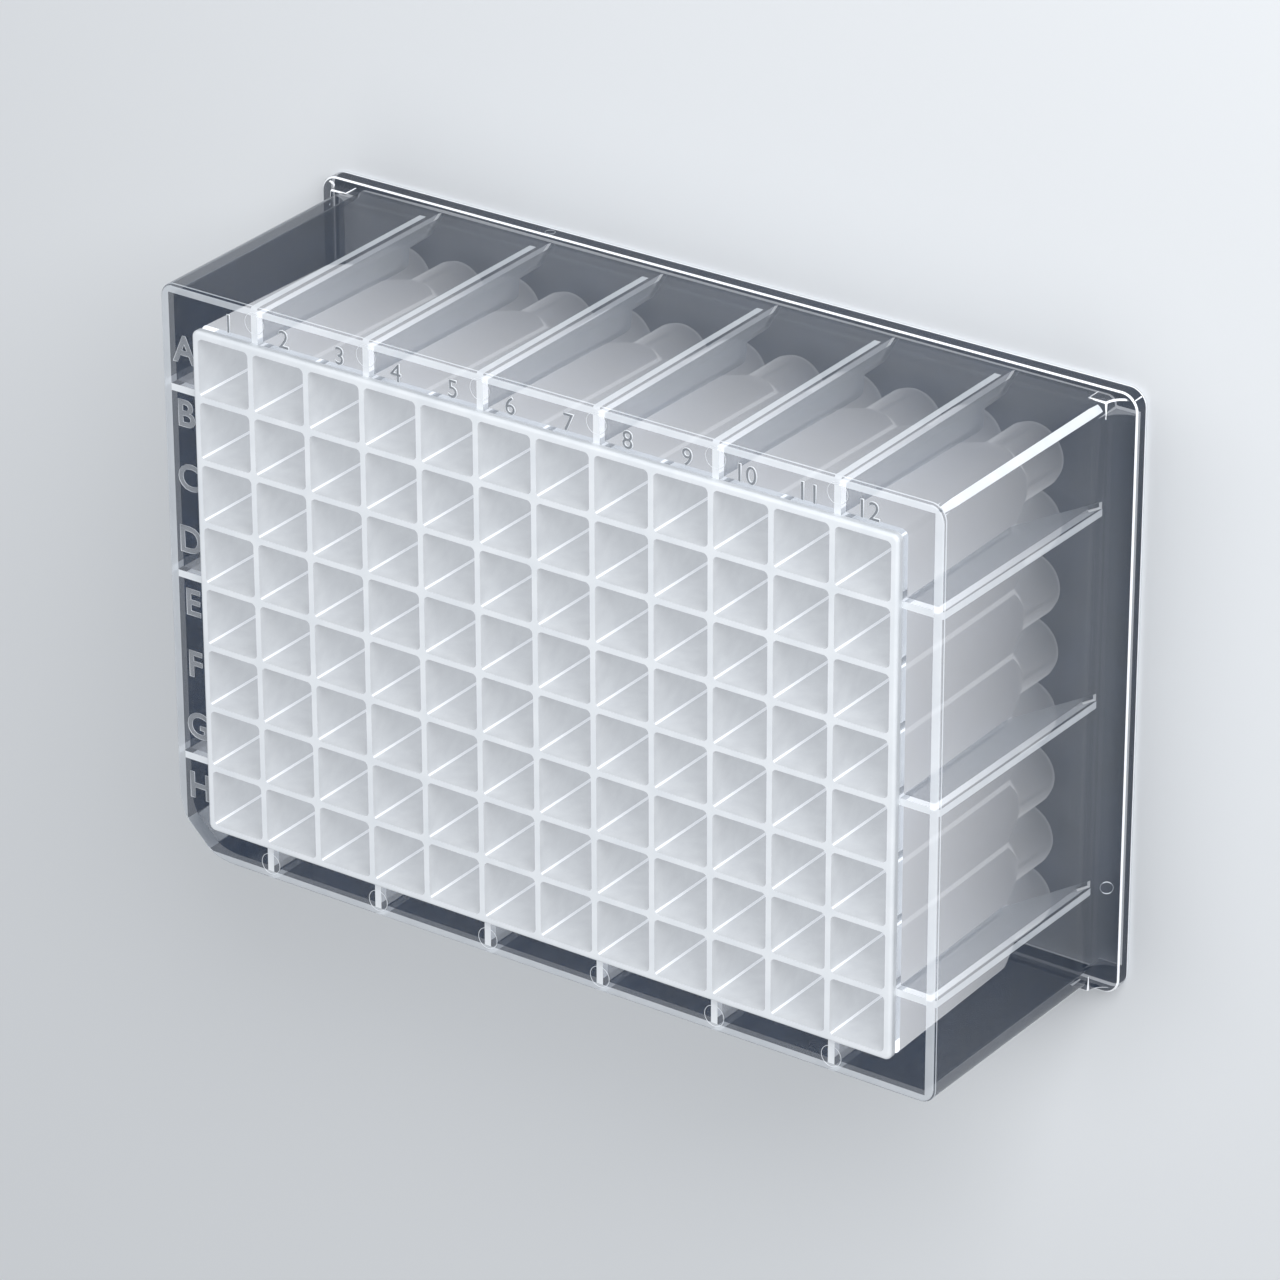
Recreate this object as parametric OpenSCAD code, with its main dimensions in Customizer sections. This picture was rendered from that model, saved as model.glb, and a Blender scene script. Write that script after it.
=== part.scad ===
// Deep-well plate: twelve by eight square wells with round bottoms, moulded in one
// piece with the skirt that carries them. It stands on its base, Z up, with the
// columns along X and row A at +Y. The origin is under the middle of the wells.

/* [Footprint] */
// Length of the footprint, along the rows of twelve
foot_l = 127.76; // [127.4:0.02:128.2]
// Width of the footprint, along the columns of eight
foot_w = 85.48; // [85.1:0.02:85.9]
// Radius of the footprint's corners
foot_r = 2.4; // [1.6:0.1:3]
// Height of the flange's upright lip
lip_h = 2.41; // [2:0.01:2.8]
// Overall height, to the top of the wells
plate_h = 42.4; // [41:0.1:44]

/* [Deck] */
// Length of the deck, the ledge round the wells
deck_l = 121.04; // [120.6:0.02:121.4]
// Width of the deck
deck_w = 83.32; // [83:0.02:83.6]
// Radius of the deck's three rounded corners
deck_r = 2.2; // [1.8:0.1:2.6]
// Thickness of the deck
deck_t = 1.1; // [0.9:0.1:1.4]
// How far the wells stand up above the deck
rim_h = 1.1; // [0.8:0.1:1.5]
// Leg of the 45 degree cut that marks the corner at row H, column 1
key_leg = 5.84; // [5.6:0.02:6.4]
// Radius of the round corner that the cut takes a slice from
key_r = 9.1; // [8:0.1:9.6]

/* [Skirt] */
// Thickness of the skirt's short walls
wall_x = 1.4; // [1.2:0.1:1.6]
// Thickness of the skirt's long walls
wall_y = 1.2; // [1:0.1:1.4]
// How far the skirt spreads from the deck down to the base, for the mould to draw
skirt_draft = 0.3; // [0.1:0.05:0.4]
// Radius of the hollow shoulder between the short walls and the lip
shoulder_r = 2.4; // [2:0.1:2.6]

/* [Wells] */
// Columns of wells
cols = 12; // [6:1:12]
// Rows of wells
rows = 8; // [4:1:8]
// Distance between well centres
pitch = 9; // [9]
// Thickness of the webs between wells
web_t = 0.83; // [0.7:0.01:1]
// Thickness of the outermost walls at the top
rim_t = 1.03; // [0.9:0.01:1.2]
// Radius of the wells' upright corners
well_r = 0.7; // [0.5:0.1:1]
// Length of the square part, from the top to where the cells begin to arch
square_h = 27.3; // [26:0.1:29]
// Height of the wells' undersides above the base
foot_gap = 2.2; // [1.8:0.1:3]
// Outer radius of the round part, which all but touches its neighbours
tube_r = 4.48; // [4.4:0.01:4.49]
// Inner radius of the round part
bore_r = 3.75; // [3.6:0.05:3.85]
// Thickness of the wells' floors
floor_t = 1.1; // [0.9:0.1:1.4]
// Rounding between the round part's side and its underside
tube_round = 1.7; // [1.2:0.1:2]
// Rounding between a well's side and its floor
bore_round = 1.8; // [1:0.1:1.8]

/* [Ribs] */
// Thickness of the ribs between the skirt and the wells
rib_t = 1; // [0.8:0.1:1.2]
// Height at which the long sides' ribs cross to the wells
rib_step_h = 9; // [7:0.5:12]
// Depth of the fins that run on down the long walls
rib_fin = 2; // [1.6:0.1:2.4]

/* [Hidden] */
$fn = 64;

part_colour = [0.78, 0.81, 0.84];
deck_h = plate_h - rim_h;
well_w = pitch - web_t;
block_l = cols * pitch - web_t + 2 * rim_t;
block_w = rows * pitch - web_t + 2 * rim_t;
block_r = 1;                       // upright corners of the block of wells
block_draft = 0.48;                // the block is narrower by this at the foot of its square part
block_foot = plate_h - square_h;   // height of that foot
edge_r = 0.45;                     // rounding of the top outer edges
cone_slope = 1.6;                  // drop of the arches' cone for each millimetre inwards
cone_r = 6.5;                      // radius of that cone at the foot of the square part
cone_wall = 1;                     // horizontal thickness of the cone's wall
well_floor = foot_gap + floor_t;
lip_t = 1.2;                       // thickness of the lip on the short sides
blend = 0.98;                      // an arc's centre, in radii, where it meets a face with a faint crease
over = 1;                          // what a cutter reaches past a face

// Corners of an outline, anticlockwise: [x, y, radius of the rounding]
foot_outline = rectangle(foot_l, foot_w, foot_r);
block_outline = rectangle(block_l, block_w, block_r);
// The cut corner's wall is as thick as the mean of its neighbours
key_wall = (wall_x + wall_y) / 2;
deck_outline = keyed_rectangle(deck_l, deck_w, deck_r, key_r);
hollow_outline = keyed_rectangle(
    deck_l - 2 * wall_x, deck_w - 2 * wall_y, deck_r - key_wall, key_r - key_wall);

function rectangle(l, w, r) =
    [[-l / 2, -w / 2, r], [l / 2, -w / 2, r], [l / 2, w / 2, r], [-l / 2, w / 2, r]];

function keyed_rectangle(l, w, r, key) =
    [[-l / 2, -w / 2, key], [l / 2, -w / 2, r], [l / 2, w / 2, r], [-l / 2, w / 2, r]];

function heading(a) = [cos(a), sin(a)];

// Direction of the side that leaves corner k of an outline, in degrees
function side_angle(outline, k) =
    let (n = len(outline), a = outline[(k + n) % n], b = outline[(k + n + 1) % n])
    atan2(b.y - a.y, b.x - a.x);

function turn(outline, k) =
    (side_angle(outline, k) - side_angle(outline, k - 1) + 360) % 360;

// Centre of the arc that rounds corner k
function arc_centre(outline, k) =
    let (a = side_angle(outline, k - 1), r = outline[k].z)
    [outline[k].x, outline[k].y]
    - r * tan(turn(outline, k) / 2) * heading(a) - r * heading(a - 90);

// A solid whose edge follows an outline. The child is its section: it starts at
// x = 0, reaches the outline at x = $reach, and y runs up.
module swept_section(outline) {
    n = len(outline);
    for (k = [0 : n - 1]) {
        r = outline[k].z;
        next_r = outline[(k + 1) % n].z;
        a = side_angle(outline, k);
        from = arc_centre(outline, k) + r * heading(a - 90);
        to = arc_centre(outline, (k + 1) % n) + next_r * heading(a - 90);
        translate(arc_centre(outline, k))
            rotate(side_angle(outline, k - 1) - 90)
                rotate_extrude(angle = turn(outline, k))
                    let ($reach = r)
                        children();
        translate(to - min(r, next_r) * heading(a - 90))
            rotate([90, 0, a - 90])
                linear_extrude(norm(to - from))
                    let ($reach = min(r, next_r))
                        children();
    }
}

// The floor plan inside the swept sections
function core_points(outline) = [
    for (k = [0 : len(outline) - 1])
        let (n = len(outline), r = outline[k].z, c = arc_centre(outline, k),
             before = min(r, outline[(k + n - 1) % n].z), after = min(r, outline[(k + 1) % n].z),
             a = side_angle(outline, k - 1) - 90, b = side_angle(outline, k) - 90)
        each concat(
            r > before ? [c + (r - before) * heading(a)] : [],
            [c],
            r > after ? [c + (r - after) * heading(b)] : [])];

// A block with drafted sides and a rounded top edge, from height z0 to z1.
// spread is how far its foot stands outside the outline.
module moulded_block(outline, z0, z1, spread, edge = 0) {
    translate([0, 0, z0])
        linear_extrude(z1 - z0)
            polygon(core_points(outline));
    swept_section(outline)
        wall_section(z0, z1, spread, edge);
}

module wall_section(z0, z1, spread, edge) {
    polygon([
        [0, z0], [$reach + spread, z0], [$reach, z1 - edge],
        if (edge > 0) [$reach - edge, z1],
        [0, z1]]);
    if (edge > 0)
        translate([$reach - edge, z1 - edge])
            circle(edge);
}

// A block on one of the keyed outlines, with its key corner sliced off at 45 degrees.
// inset is how far that slice lies inside the deck's.
module keyed_block(outline, inset, z0, z1, spread, edge = 0) {
    difference() {
        moulded_block(outline, z0, z1, spread, edge);
        translate([(key_leg - deck_l) / 2, (key_leg - deck_w) / 2, 0])
            rotate([90, 0, 225])
                linear_extrude(3 * key_leg, center = true)
                    translate([-inset, 0])
                        polygon([
                            [spread, z0 - over], [spread, z0],
                            each [for (a = edge > 0 ? [0 : 15 : 90] : [0])
                                [edge * (cos(a) - 1), z1 + edge * (sin(a) - blend)]],
                            [-edge, z1 + over], [2 * key_leg, z1 + over], [2 * key_leg, z0 - over]]);
    }
}

// A flat plan of an outline
module outline_plan(outline) {
    polygon([
        for (k = [0 : len(outline) - 1])
            each [for (a = [side_angle(outline, k - 1), side_angle(outline, k)])
                arc_centre(outline, k) + outline[k].z * heading(a - 90)]]);
    for (k = [0 : len(outline) - 1])
        translate(arc_centre(outline, k))
            circle(outline[k].z);
}

// Extrudes a section drawn in X and Z along Y, or in Y and Z along X
module along_y(length) {
    rotate([90, 0, 0])
        linear_extrude(length, center = true)
            children();
}

module along_x(length) {
    rotate([90, 0, 90])
        linear_extrude(length, center = true)
            children();
}

module both_ends() {
    for (m = [0, 1])
        mirror([m, 0, 0])
            children();
}

module both_sides() {
    for (m = [0, 1])
        mirror([0, m, 0])
            children();
}

// The step where the short walls flare out to the lip. Its outer face and the hollow
// behind it are arcs about one centre, so the wall keeps its thickness.
module flare_section(foot, reach, r) {
    wall = deck_l / 2 + skirt_draft;
    centre = [wall + blend * shoulder_r, lip_h + blend * shoulder_r];
    difference() {
        translate([wall - 2 * wall_x, foot])
            square([reach - wall + 2 * wall_x, centre.y - foot]);
        translate(centre)
            circle(r);
    }
}

module skirt() {
    difference() {
        union() {
            keyed_block(deck_outline, 0, 0, deck_h, skirt_draft, edge_r);
            moulded_block(foot_outline, 0, lip_h, 0);
            both_ends()
                along_y(deck_w + 2 * skirt_draft)
                    flare_section(0.5, foot_l / 2 - 0.5, shoulder_r);
        }
        translate([0, 0, -over])
            keyed_block(hollow_outline, key_wall, 0, deck_h - deck_t + over, skirt_draft);
        both_ends()
            along_y(deck_w - 4 * wall_y)
                flare_section(-over, foot_l / 2 - lip_t, shoulder_r + wall_x);
    }
}

function well_x(i) = (i - (cols - 1) / 2) * pitch;
function well_y(j) = (j - (rows - 1) / 2) * pitch;

// The floor plan that a well's underside fills. The outermost reach the block's wall.
module cell_plan(i, j) {
    low = [i == 0 ? pitch : pitch / 2, j == 0 ? pitch : pitch / 2];
    high = [i == cols - 1 ? pitch : pitch / 2, j == rows - 1 ? pitch : pitch / 2];
    foot = rectangle(block_l - 2 * block_draft, block_w - 2 * block_draft, block_r - block_draft);
    if (low + high == [pitch, pitch])
        square(pitch, center = true);
    else
        intersection() {
            translate(-low)
                square(low + high);
            translate([-well_x(i), -well_y(j)])
                outline_plan(foot);
        }
}

// Half the profile of a round bottom, from its middle out: the rounding takes a few steps of its arc
function round_bottom(r, z, round, step) =
    concat([[0, z]], [for (a = [-90 : step : 0]) [r - round + round * cos(a), z + round + round * sin(a)]]);

// Below the square part a cone about each well cuts the cell's walls into arches
module well_underside(i, j) {
    tube_top = block_foot - (cone_r - tube_r) * cone_slope;
    translate([well_x(i), well_y(j), 0])
        intersection() {
            translate([0, 0, foot_gap - over])
                linear_extrude(block_foot - foot_gap + over)
                    cell_plan(i, j);
            rotate_extrude()
                polygon(concat(
                    round_bottom(tube_r, foot_gap, tube_round, 30),
                    [[tube_r, tube_top], [cone_r, block_foot], [cone_r, block_foot + over],
                     [0, block_foot + over]]));
        }
}

module well_cavity() {
    cone_foot = block_foot - (cone_r - cone_wall - bore_r) * cone_slope;
    rise = (pitch - bore_r) * cone_slope;
    intersection() {
        translate([0, 0, well_floor - over])
            linear_extrude(plate_h - well_floor + 2 * over)
                outline_plan(rectangle(well_w, well_w, well_r));
        rotate_extrude()
            polygon(concat(
                round_bottom(bore_r, well_floor, bore_round, 45),
                [[bore_r, cone_foot], [pitch, cone_foot + rise], [pitch, plate_h + 2 * over],
                 [0, plate_h + 2 * over]]));
    }
}

// Ribs on the long sides: a fin down the skirt, and a web across to the wells
module long_side_rib() {
    wall = deck_w / 2 - wall_y + skirt_draft;
    wells = block_w / 2 - block_draft - 0.1;
    along_x(rib_t)
        polygon([
            [wall + wall_y / 2, 0.5], [wall, 0.5],
            [wall - rib_fin, 0.5 + 1.7 * rib_fin], [wall - rib_fin, rib_step_h - 0.2],
            [wells + 0.4, rib_step_h], [wells, rib_step_h + 0.9],
            [wells, deck_h - deck_t / 2], [wall + wall_y / 2 - skirt_draft, deck_h - deck_t / 2]]);
}

// Ribs on the short sides: one sloping edge from the flare up to the wells
module short_side_rib() {
    wall = deck_l / 2 - wall_x + skirt_draft;
    wells = block_l / 2 - block_draft - 0.1;
    along_y(rib_t)
        polygon([
            [wall + wall_x / 2, 3.2], [wall, 3.2], [wells, block_foot + over],
            [wells, deck_h - deck_t / 2], [wall + wall_x / 2 - skirt_draft, deck_h - deck_t / 2]]);
}

module plate() {
    color(part_colour)
        difference() {
            union() {
                skirt();
                moulded_block(block_outline, block_foot, plate_h, -block_draft, edge_r);
                for (i = [0 : cols - 1], j = [0 : rows - 1])
                    well_underside(i, j);
                for (k = [1 : 2 : cols - 1])
                    both_sides()
                        translate([well_x(k) - pitch / 2, 0, 0])
                            long_side_rib();
                for (k = [1 : 3 : rows - 1])
                    both_ends()
                        translate([0, well_y(k) - pitch / 2, 0])
                            short_side_rib();
            }
            for (i = [0 : cols - 1], j = [0 : rows - 1])
                translate([well_x(i), well_y(j), 0])
                    well_cavity();
        }
}

plate();
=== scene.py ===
# Deep-well plate: the looks of a laboratory plate with twelve by eight square wells,
# moulded in one piece from natural polypropylene.

import math

import bmesh
import bpy
from mathutils import Matrix, Vector
from mathutils.bvhtree import BVHTree


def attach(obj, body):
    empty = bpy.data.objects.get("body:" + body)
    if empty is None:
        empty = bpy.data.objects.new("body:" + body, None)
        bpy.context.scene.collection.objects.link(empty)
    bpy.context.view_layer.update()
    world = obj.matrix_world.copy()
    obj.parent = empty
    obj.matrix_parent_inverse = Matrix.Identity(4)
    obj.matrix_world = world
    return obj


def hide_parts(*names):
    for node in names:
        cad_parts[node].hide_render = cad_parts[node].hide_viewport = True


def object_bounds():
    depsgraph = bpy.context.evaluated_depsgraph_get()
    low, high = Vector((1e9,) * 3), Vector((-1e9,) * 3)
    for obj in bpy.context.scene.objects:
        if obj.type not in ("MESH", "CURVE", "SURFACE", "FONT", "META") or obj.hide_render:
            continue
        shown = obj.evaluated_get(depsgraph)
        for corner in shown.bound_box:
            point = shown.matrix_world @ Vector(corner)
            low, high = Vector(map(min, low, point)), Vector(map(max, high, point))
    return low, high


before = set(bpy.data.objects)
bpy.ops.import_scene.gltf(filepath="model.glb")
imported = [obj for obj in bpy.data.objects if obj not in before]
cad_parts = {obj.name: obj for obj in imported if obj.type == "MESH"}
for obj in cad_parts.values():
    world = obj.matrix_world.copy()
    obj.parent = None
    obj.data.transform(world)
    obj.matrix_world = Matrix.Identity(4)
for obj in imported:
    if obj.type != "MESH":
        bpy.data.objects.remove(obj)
cad_low, cad_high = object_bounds()


# ---------------------------------------------------------------------------
# The moulded plate
# One shot of natural polypropylene: flange, skirt, deck, ribs and wells are one piece.
# The skirt is polished and nearly clear, the wells are frosted, and the plastic
# turns milky wherever more than a couple of millimetres of it lie in line.
# The clear skirt's dark slate colour is painted shade; the other finishes carry a painted glow, and
# sharp edges a painted highlight.
# ---------------------------------------------------------------------------
MM = 0.001

columns, rows, pitch = 12, 8, 9 * MM
rim_x, rim_y = 54.62 * MM, 36.62 * MM    # outer faces of the block of wells, at its rim
block_lean = 0.55 * MM                   # those faces lean in by less than this, going down
web_thick = 0.83 * MM                    # between two wells
deck_top = cad_high.z - 1.1 * MM         # the ledge round the wells
rim_from = deck_top + 0.5 * MM           # faces above this are the rim and the webs' tops
deck_x, deck_y = 60.52 * MM, 41.66 * MM  # half of the deck's length and width
wall_x, wall_y = 1.4 * MM, 1.2 * MM      # thickness of the skirt's walls
shoulder_top = 5 * MM                    # where the skirt's walls turn out into the flange
foot_line = 0.4 * MM                     # height of the painted highlight line along the flange's foot
rib_thick = 1.0 * MM
rib_margin = 2 * MM                      # the ribs' sides lie at least this far inside the deck
long_ribs = [(k + 0.5) * 2 * pitch for k in range(-3, 3)]  # along X, on the long sides
short_ribs = [k * 3 * pitch for k in (-1, 0, 1)]           # along Y, on the short sides
milky_from = 2.0 * MM                    # plastic this thick looks white
edge_round = 0.22 * MM                   # rounding of the mould's sharp edges
closest = 0.05 * MM                      # a face this near a plane counts as on it
weld, cut = 0.002 * MM, 0.001 * MM       # corners this near are merged, or lie on a cut
skin = 0.02 * MM                         # thickness is measured from this far under a face
shortest_edge = 0.3 * MM                 # shorter sharp edges are left as they are
flat_to, smooth_to, sharp_from = (math.radians(angle) for angle in (0.6, 33, 35))

# Parts of a face's normal: it looks along an axis, stands upright, or turns a rounded corner
looks_along, upright, turns = 0.9, 0.2, 0.5


def linear(colour):
    """A colour as Blender wants it, from its sRGB hex value."""
    values = [int(colour[k:k + 2], 16) / 255 for k in (1, 3, 5)]
    return (*[v / 12.92 if v <= 0.04045 else ((v + 0.055) / 1.055) ** 2.4 for v in values], 1)


def add_node(tree, kind, settings=None, links=None):
    """A shader node with its settings and input values, and links from other nodes' outputs."""
    node = tree.nodes.new(kind)
    for name, value in (settings or {}).items():
        if name in node.inputs:
            node.inputs[name].default_value = value
        else:
            setattr(node, name, value)
    for name, output in (links or {}).items():
        tree.links.new(output, node.inputs[name])
    return node


def polypropylene(name, pale, deep, mottle_mm, ripple_mm, **shader):
    """Natural polypropylene: a waxy plastic, faintly mottled where the melt cooled unevenly."""
    material = bpy.data.materials.new(name)
    material.use_nodes = True
    material.cycles.emission_sampling = "NONE"  # bounced light finds the glow, and renders sooner
    tree = material.node_tree
    tree.nodes.clear()
    place = add_node(tree, "ShaderNodeTexCoord")
    mottle = add_node(
        tree, "ShaderNodeTexNoise", {"Scale": 1 / (mottle_mm * MM), "Detail": 3.0},
        {"Vector": place.outputs["Object"]})
    tint = add_node(tree, "ShaderNodeValToRGB", links={"Fac": mottle.outputs["Fac"]})
    low_stop, high_stop = tint.color_ramp.elements
    low_stop.position = 0.3
    low_stop.color = linear(deep)
    high_stop.position = 0.7
    high_stop.color = linear(pale)
    ripple = add_node(
        tree, "ShaderNodeBump", {"Strength": 0.3, "Distance": ripple_mm * MM},
        {"Height": mottle.outputs["Fac"]})
    settings = {"IOR": 1.49}
    settings.update({words.replace("_", " "): value for words, value in shader.items()})
    plastic = add_node(
        tree, "ShaderNodeBsdfPrincipled", settings,
        {"Base Color": tint.outputs["Color"], "Normal": ripple.outputs["Normal"]})
    add_node(tree, "ShaderNodeOutputMaterial", links={"Surface": plastic.outputs["BSDF"]})
    return material


def paint_stray_glow(material, foot_glow, deck_glow, painted_sheen):
    """Paints a glow into the plastic in place of light straying down through frosted walls: the
    painted glow fades to their feet, and a painted sheen shines at their outlines.
    """
    tree = material.node_tree
    place = add_node(tree, "ShaderNodeTexCoord")
    height = add_node(tree, "ShaderNodeSeparateXYZ", links={"Vector": place.outputs["Object"]})
    # painted glow: the emission rises from the feet to the deck
    glow = add_node(
        tree, "ShaderNodeMapRange", {"From Max": deck_top, "To Min": foot_glow, "To Max": deck_glow},
        {"Value": height.outputs["Z"]})
    # painted sheen: the emission grows where a face turns edge on, so outlines shine
    outline = add_node(tree, "ShaderNodeLayerWeight", {"Blend": 0.25})
    total = add_node(tree, "ShaderNodeMath", {"operation": "MULTIPLY_ADD"})
    total.inputs[1].default_value = painted_sheen
    tree.links.new(outline.outputs["Facing"], total.inputs[0])
    tree.links.new(glow.outputs["Result"], total.inputs[2])
    plastic = next(node for node in tree.nodes if node.type == "BSDF_PRINCIPLED")
    tree.links.new(total.outputs["Value"], plastic.inputs["Emission Strength"])


# Polished and thin: seen through; its dark slate blue colour is painted shade that darkens the skirt
# and what shows through it
clear = polypropylene(
    "polypropylene_clear_painted_dark", "#1e3048", "#17283c", 8, 0.03, Roughness=0.1, Alpha=0.5,
    Specular_IOR_Level=0.3)
# Over the skirt's walls and along the ribs, with more plastic in line: hazy, with a faint painted
# glow
hazy = polypropylene(
    "polypropylene_hazy", "#ced3d9", "#c3c9d0", 4, 0.05, Roughness=0.15, Alpha=0.65,
    Emission_Color=linear("#e6ecf3"), Emission_Strength=0.12)
# Thick or seen edge on: white, with a painted glow in place of the light that strays through it
milky = polypropylene(
    "polypropylene_milky", "#d9dde1", "#cfd4d9", 4, 0.05, Roughness=0.25,
    Emission_Color=linear("#f0f4fa"), Emission_Strength=0.15)
# Inside the wells: frosted by the mould's cores, with an even painted glow in place of light coming
# through the thin webs, which lifts the wells' shade
frosted = polypropylene(
    "polypropylene_frosted", "#b4b8bc", "#aaaeb3", 2, 0.1, Roughness=0.45,
    Emission_Color=linear("#eef0f3"), Emission_Strength=0.3)
# The wells' outer walls and undersides: the same, with a painted glow that fades to their feet and a
# painted sheen that brightens their outlines
frosted_tube = polypropylene(
    "polypropylene_frosted_tube", "#a6aab0", "#9a9ea5", 3, 0.05, Roughness=0.4,
    Emission_Color=linear("#eef0f3"))
paint_stray_glow(frosted_tube, 0.05, 2.1, 0.9)
# Where a web ends at the block's outer wall, more plastic lies in line, so a paler band shows, with
# a stronger painted glow
web_end = polypropylene(
    "polypropylene_web_end", "#b6babf", "#acb0b6", 3, 0.05, Roughness=0.4,
    Emission_Color=linear("#eef0f3"))
paint_stray_glow(web_end, 0.8, 2.6, 0.6)
# The ribs: frosted but thin, so what lies behind them shows; they carry a fainter painted glow and
# sheen
thin_frosted = polypropylene(
    "polypropylene_thin_frosted", "#a6abb2", "#9a9fa7", 3, 0.05, Roughness=0.35, Alpha=0.5,
    Emission_Color=linear("#e6eaef"))
paint_stray_glow(thin_frosted, 0.35, 1.3, 0.3)
# Sharp edges, the flange's foot line and the wells' upright corners: a painted highlight,
# white with a painted glow, in place of light that runs along inside the walls and comes out here
painted_highlight = polypropylene(
    "polypropylene_bright_edge", "#f6f8fa", "#f0f2f5", 4, 0.02, Roughness=0.15,
    Emission_Color=linear("#f4f8ff"), Emission_Strength=0.25)
finishes = [clear, hazy, milky, frosted, frosted_tube, web_end, thin_frosted, painted_highlight]


def outside_wells(place):
    """Whether a point lies beyond the outer faces of the block of wells."""
    return abs(place.x) > rim_x + closest or abs(place.y) > rim_y + closest


def beyond_block(face):
    """Whether a face belongs to the skirt, the deck, the ribs or the flange."""
    return outside_wells(face.calc_center_median())


def on_block_wall(face):
    """Whether a face belongs to the block's own outer walls, which lean in a little."""
    centre, normal = face.calc_center_median(), face.normal
    on_x = abs(centre.x) > rim_x - block_lean and centre.x * normal.x > looks_along * abs(centre.x)
    on_y = abs(centre.y) > rim_y - block_lean and centre.y * normal.y > looks_along * abs(centre.y)
    return on_x or on_y


def faces_a_well(place, normal):
    """Whether a face of the block looks into a well: up, or towards the well's own axis."""
    column = min(max(int(place.x / pitch + columns / 2), 0), columns - 1)
    row = min(max(int(place.y / pitch + rows / 2), 0), rows - 1)
    across_x = place.x - (column - (columns - 1) / 2) * pitch
    across_y = place.y - (row - (rows - 1) / 2) * pitch
    return normal.z > upright or across_x * normal.x + across_y * normal.y < 0


def both_sides(middles, thick):
    """Where the two faces of each web, rib or pair of walls lie, from their middles."""
    return [middle + side * thick / 2 for middle in middles for side in (-1, 1)]


def slice_faces(shell, axis, places, chosen):
    """Cuts the chosen faces along planes across an axis, where the finish changes."""
    for place in places:
        faces = [face for face in shell.faces if chosen(face)]
        parts = set(faces)
        for face in faces:
            parts.update(face.edges)
            parts.update(face.verts)
        point, normal = Vector(), Vector()
        point[axis] = place
        normal[axis] = 1
        bmesh.ops.bisect_plane(
            shell, geom=list(parts), plane_co=point, plane_no=normal, dist=cut)


def finish_of(face, solid):
    """Which finish a face of the plate has."""
    centre, normal = face.calc_center_median(), face.normal
    round_corner = abs(normal.z) < upright and min(abs(normal.x), abs(normal.y)) > turns
    inside = not beyond_block(face)
    if inside and centre.z > rim_from and normal.z > upright:
        return milky
    if inside and faces_a_well(centre, normal):
        # the wells' upright corners, in their upper half, get a painted highlight line
        return painted_highlight if round_corner and centre.z > cad_high.z / 2 else frosted
    if inside and centre.z > deck_top:
        return milky
    thickness = solid.ray_cast(centre - normal * skin, -normal)[3] or 0
    if inside:
        return web_end if on_block_wall(face) and thickness > milky_from else frosted_tube
    # a painted highlight line along the flange's foot
    if centre.z < foot_line and abs(normal.z) < turns:
        return painted_highlight
    by_long_rib = abs(normal.x) > looks_along and abs(centre.x) < deck_x - rib_margin
    by_short_rib = abs(normal.y) > looks_along and abs(centre.y) < deck_y - rib_margin
    if (by_long_rib or by_short_rib) and centre.z < deck_top:
        return thin_frosted
    if centre.z < shoulder_top:
        return clear
    if round_corner:
        return milky
    if thickness < milky_from:
        return clear
    over_wall = abs(centre.x) > deck_x - wall_x or abs(centre.y) > deck_y - wall_y
    return hazy if over_wall or normal.z < looks_along else milky


plate_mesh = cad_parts["plate"].data.copy()
plate_mesh.name = "moulded_plate"
plate = bpy.data.objects.new("moulded_plate", plate_mesh)
bpy.context.scene.collection.objects.link(plate)
plate_mesh.materials.clear()
for finish in finishes:
    plate_mesh.materials.append(finish)

# The copy is merged, and cut where the finish changes inside a flat face
shell = bmesh.new()
shell.from_mesh(plate_mesh)
bmesh.ops.remove_doubles(shell, verts=shell.verts, dist=weld)
shell.normal_update()
solid = BVHTree.FromBMesh(shell)
slice_faces(shell, 0, both_sides([0], 2 * (deck_x - wall_x)), beyond_block)
slice_faces(shell, 0, both_sides(long_ribs, rib_thick), beyond_block)
slice_faces(shell, 1, both_sides([0], 2 * (deck_y - wall_y)), beyond_block)
slice_faces(shell, 1, both_sides(short_ribs, rib_thick), beyond_block)
slice_faces(shell, 2, [foot_line, shoulder_top], beyond_block)
column_webs = [k * pitch for k in range(1 - columns // 2, columns // 2)]
row_webs = [k * pitch for k in range(1 - rows // 2, rows // 2)]
slice_faces(shell, 0, both_sides(column_webs, web_thick), on_block_wall)
slice_faces(shell, 1, both_sides(row_webs, web_thick), on_block_wall)
shell.normal_update()
for face in shell.faces:
    face.material_index = finishes.index(finish_of(face, solid))

# Flat faces of one finish are joined, and the outside's sharp edges rounded and given a painted
# highlight
bmesh.ops.dissolve_limit(
    shell, angle_limit=flat_to, verts=shell.verts, edges=shell.edges,
    delimit={"MATERIAL"})
shell.normal_update()
sharp = [
    edge for edge in shell.edges
    if edge.is_convex and edge.calc_face_angle(0) > sharp_from
    and edge.calc_length() > shortest_edge
    and all(outside_wells(vert.co) for vert in edge.verts)]
bmesh.ops.bevel(
    shell, geom=sharp, offset=edge_round, offset_type="OFFSET", segments=1, profile=0.5,
    affect="EDGES", clamp_overlap=False, material=finishes.index(painted_highlight))
shell.normal_update()
for face in shell.faces:
    face.smooth = True
for edge in shell.edges:
    edge.smooth = len(edge.link_faces) == 2 and edge.calc_face_angle(0) < smooth_to
shell.to_mesh(plate_mesh)
shell.free()

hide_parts("plate")
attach(plate, "root")


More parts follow.
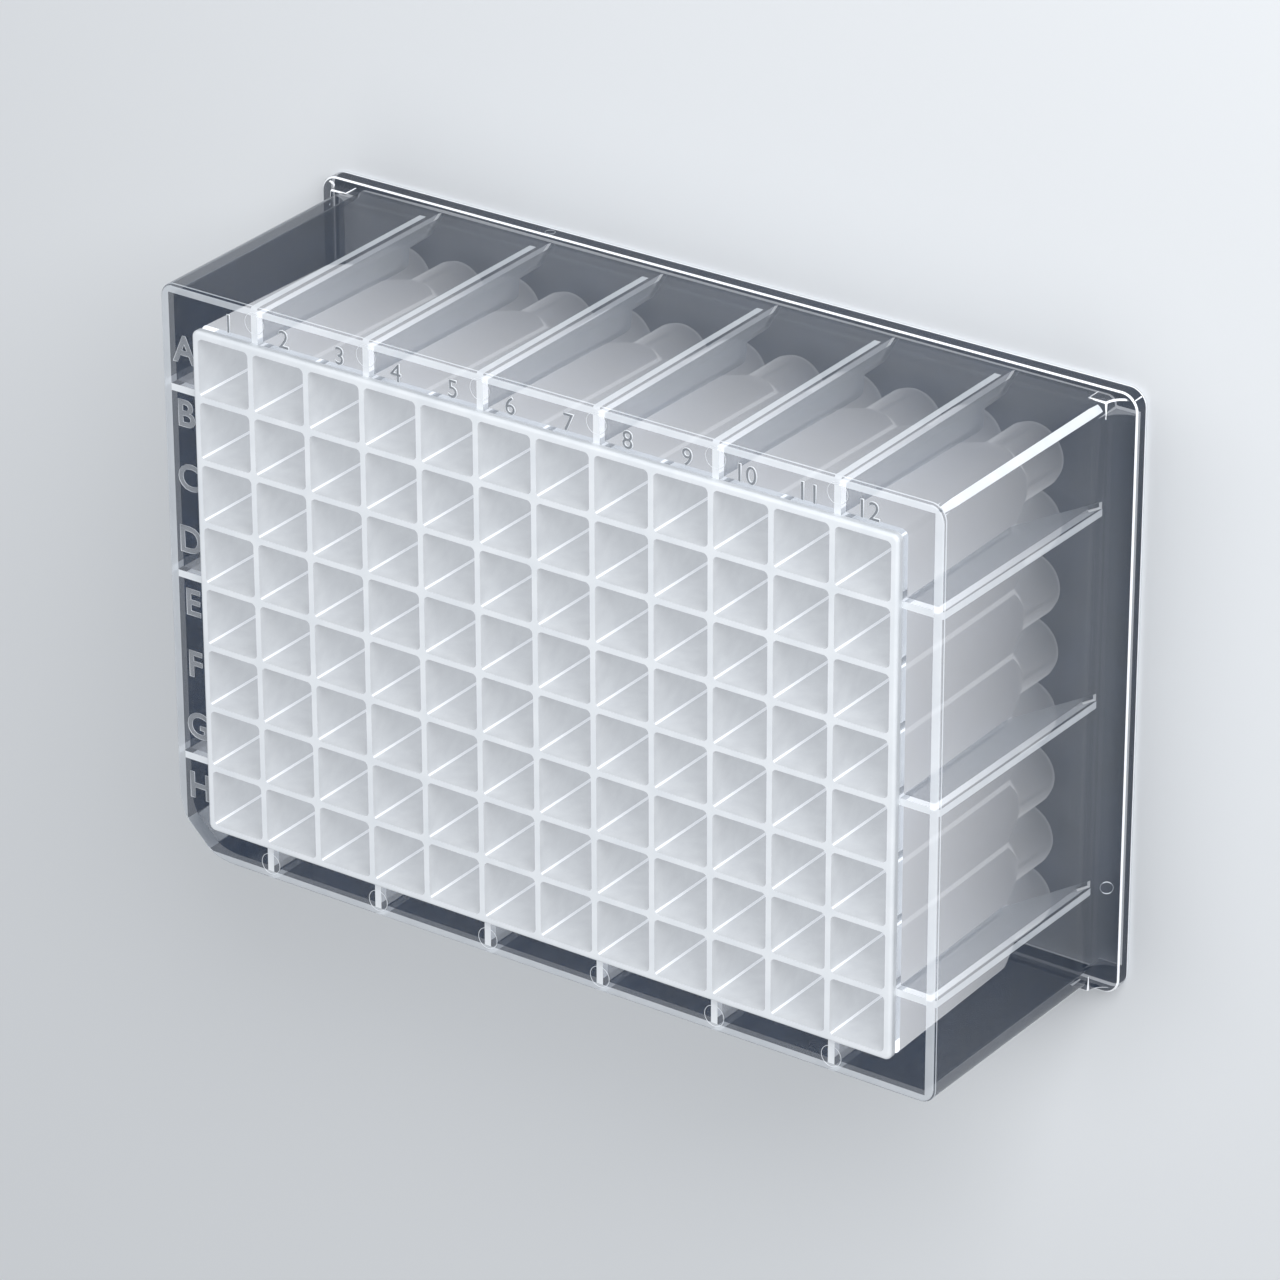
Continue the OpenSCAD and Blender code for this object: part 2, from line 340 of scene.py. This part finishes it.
# ---------------------------------------------------------------------------
# Row letters and column numbers
# Raised a seventh of a millimetre on the deck by engraving in the mould, so that only
# their edges catch the light: A to H down the left, 1 to 12 along the top.
# ---------------------------------------------------------------------------
letter_high, letter_x = 3.9 * MM, -56.7 * MM
first_letter_y, letter_step = 32.8 * MM, 64 / 7 * MM
number_high, number_y = 2.6 * MM, 38.4 * MM
number_shift = 0.3 * MM                  # each number stands a little right of its column
raised, sunk = 0.14 * MM, 0.042 * MM     # above the deck, and rooted in it
stroke_depth, stroke_edge = 0.02, 0.022  # of a letter before it is scaled to its size

# The letters' flat tops: so clear that the deck shows through
letter_face = polypropylene(
    "polypropylene_letter_face", "#ced3d9", "#c3c9d0", 4, 0.03, Roughness=0.1, Alpha=0.1)


def add_sign(sign, words, high, place):
    """Adds a word to the sign's mesh, standing on the deck with its middle at place."""
    curve = bpy.data.curves.new("sign", "FONT")
    curve.body = words
    curve.align_x = "CENTER"
    curve.align_y = "CENTER"
    curve.extrude = stroke_depth
    curve.bevel_depth = stroke_edge
    curve.bevel_resolution = 0
    curve.resolution_u = 4
    writer = bpy.data.objects.new("writer", curve)
    mesh = bpy.data.meshes.new_from_object(writer)
    xs, ys, zs = ([vert.co[k] for vert in mesh.vertices] for k in range(3))
    flat = high / (max(ys) - min(ys))
    tall = (raised + sunk) / (max(zs) - min(zs))
    foot = Vector(((max(xs) + min(xs)) / 2, (max(ys) + min(ys)) / 2, min(zs)))
    mesh.transform(Matrix.Diagonal((flat, flat, tall, 1)) @ Matrix.Translation(-foot))
    mesh.transform(Matrix.Translation((place[0], place[1], deck_top - sunk)))
    sign.from_mesh(mesh)
    bpy.data.objects.remove(writer)
    bpy.data.curves.remove(curve)
    bpy.data.meshes.remove(mesh)


def finish_sign(sign, name):
    """Makes a sign's mesh into a piece: clear tops with milky edges, which carry a painted glow."""
    mesh = bpy.data.meshes.new(name)
    bmesh.ops.remove_doubles(sign, verts=sign.verts, dist=cut)
    bmesh.ops.recalc_face_normals(sign, faces=sign.faces)
    for face in sign.faces:
        face.material_index = 0 if face.normal.z > looks_along else 1
    sign.to_mesh(mesh)
    sign.free()
    mesh.materials.append(letter_face)
    mesh.materials.append(milky)
    piece = bpy.data.objects.new(name, mesh)
    bpy.context.scene.collection.objects.link(piece)
    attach(piece, "root")


letters = bmesh.new()
for row, letter in enumerate("ABCDEFGH"):
    add_sign(letters, letter, letter_high, (letter_x, first_letter_y - row * letter_step))
finish_sign(letters, "row_letters")
numbers = bmesh.new()
for column in range(columns):
    number_x = (column - (columns - 1) / 2) * pitch + number_shift
    add_sign(numbers, str(column + 1), number_high, (number_x, number_y))
finish_sign(numbers, "column_numbers")


# ---------------------------------------------------------------------------
# Ejector marks
# Faint rings that the mould's ejector pins leave: one over each rib of the long sides,
# a small one on the long lip and one on the short side's flange.
# ---------------------------------------------------------------------------
rib_mark, rib_mark_y = 1.5 * MM, 39.4 * MM
lip_mark, flange_mark = 0.68 * MM, 0.85 * MM
rib_line, small_line = 0.04 * MM, 0.07 * MM  # half of the rings' own thickness
flange_slope = (0.54, 0, 0.84)               # the way the flange's shoulder faces


def add_ring(marks, radius, line, place, normal):
    """A thin ring that lies half sunk in the surface at place."""
    turned_up = Matrix.Translation((radius, 0, 0)) @ Matrix.Rotation(math.pi / 2, 4, "X")
    section = bmesh.ops.create_circle(marks, segments=6, radius=line, matrix=turned_up)
    made = section["verts"]
    edges = list({edge for vert in made for edge in vert.link_edges})
    before = set(marks.verts) - set(made)
    bmesh.ops.spin(
        marks, geom=made + edges, cent=(0, 0, 0), axis=(0, 0, 1), angle=2 * math.pi, steps=32,
        use_merge=True)
    ring = [vert for vert in marks.verts if vert not in before]
    turn = Vector(normal).to_track_quat("Z", "Y").to_matrix().to_4x4()
    bmesh.ops.transform(marks, matrix=Matrix.Translation(place) @ turn, verts=ring)


marks = bmesh.new()
for x in long_ribs:
    for side in (-1, 1):
        add_ring(marks, rib_mark, rib_line, (x, side * rib_mark_y, deck_top), (0, 0, 1))
on_lip = (-26.9 * MM, cad_high.y - small_line, 1.3 * MM)
on_flange = (61.87 * MM, -27.1 * MM, 2.76 * MM)
add_ring(marks, lip_mark, small_line, on_lip, (0, 1, 0))
add_ring(marks, flange_mark, small_line, on_flange, flange_slope)
bmesh.ops.recalc_face_normals(marks, faces=marks.faces)
for face in marks.faces:
    face.smooth = True
mark_mesh = bpy.data.meshes.new("ejector_marks")
marks.to_mesh(mark_mesh)
marks.free()
# the rings take the milky finish, with its painted glow
mark_mesh.materials.append(milky)
ejector_marks = bpy.data.objects.new("ejector_marks", mark_mesh)
bpy.context.scene.collection.objects.link(ejector_marks)
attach(ejector_marks, "root")


# ---------------------------------------------------------------------------
# The studio
# A plain pale floor of matt paper just under the plate, two soft boxes in a pale
# room, and the camera, which looks down on the deck from the row A, column 12 corner.
# ---------------------------------------------------------------------------
floor_half = 3
floor_gap = 0.1 * MM

floor_mesh = bpy.data.meshes.new("floor")
floor = bpy.data.objects.new("floor", floor_mesh)
bpy.context.scene.collection.objects.link(floor)
sheet = bmesh.new()
bmesh.ops.create_grid(sheet, x_segments=1, y_segments=1, size=floor_half)
bmesh.ops.translate(sheet, verts=sheet.verts, vec=(0, 0, -floor_gap))
sheet.to_mesh(floor_mesh)
sheet.free()
paper = bpy.data.materials.new("matt_paper")
paper.use_nodes = True
paper_shader = paper.node_tree.nodes["Principled BSDF"]
paper_shader.inputs["Base Color"].default_value = linear("#dfe2e5")
paper_shader.inputs["Roughness"].default_value = 0.8
floor_mesh.materials.append(paper)

room = bpy.data.worlds.new("studio")
room.use_nodes = True
room.node_tree.nodes["Background"].inputs["Color"].default_value = linear("#e8edf4")
room.node_tree.nodes["Background"].inputs["Strength"].default_value = 0.26
bpy.context.scene.world = room


def soft_box(name, place, size, watts):
    """A square soft box that faces the plate."""
    lamp = bpy.data.lights.new(name, "AREA")
    lamp.size = size
    lamp.energy = watts
    box = bpy.data.objects.new(name, lamp)
    box.location = place
    box.rotation_mode = "QUATERNION"
    box.rotation_quaternion = (-Vector(place)).to_track_quat("-Z", "Y")
    bpy.context.scene.collection.objects.link(box)


soft_box("key", (0.36, 0.40, 0.30), 0.4, 2.8)
soft_box("top", (-0.1, 0.1, 1.3), 1.0, 9)
bpy.context.scene.view_settings.view_transform = "Standard"

aim = Vector((1.370, -1.035, 21.2)) * MM
distance = 855.115 * MM
azimuth, elevation, roll = (math.radians(angle) for angle in (40.70, 47.07, -122.384))
towards = Vector((
    math.cos(azimuth) * math.cos(elevation),
    math.sin(azimuth) * math.cos(elevation),
    math.sin(elevation)))
lens = bpy.data.cameras.new("camera")
lens.sensor_width = 36
lens.lens = 185.178
camera = bpy.data.objects.new("camera", lens)
camera.location = aim + distance * towards
camera.rotation_mode = "QUATERNION"
level = towards.to_track_quat("Z", "Y")
camera.rotation_quaternion = level @ Matrix.Rotation(roll, 3, "Z").to_quaternion()
bpy.context.scene.collection.objects.link(camera)
bpy.context.scene.camera = camera
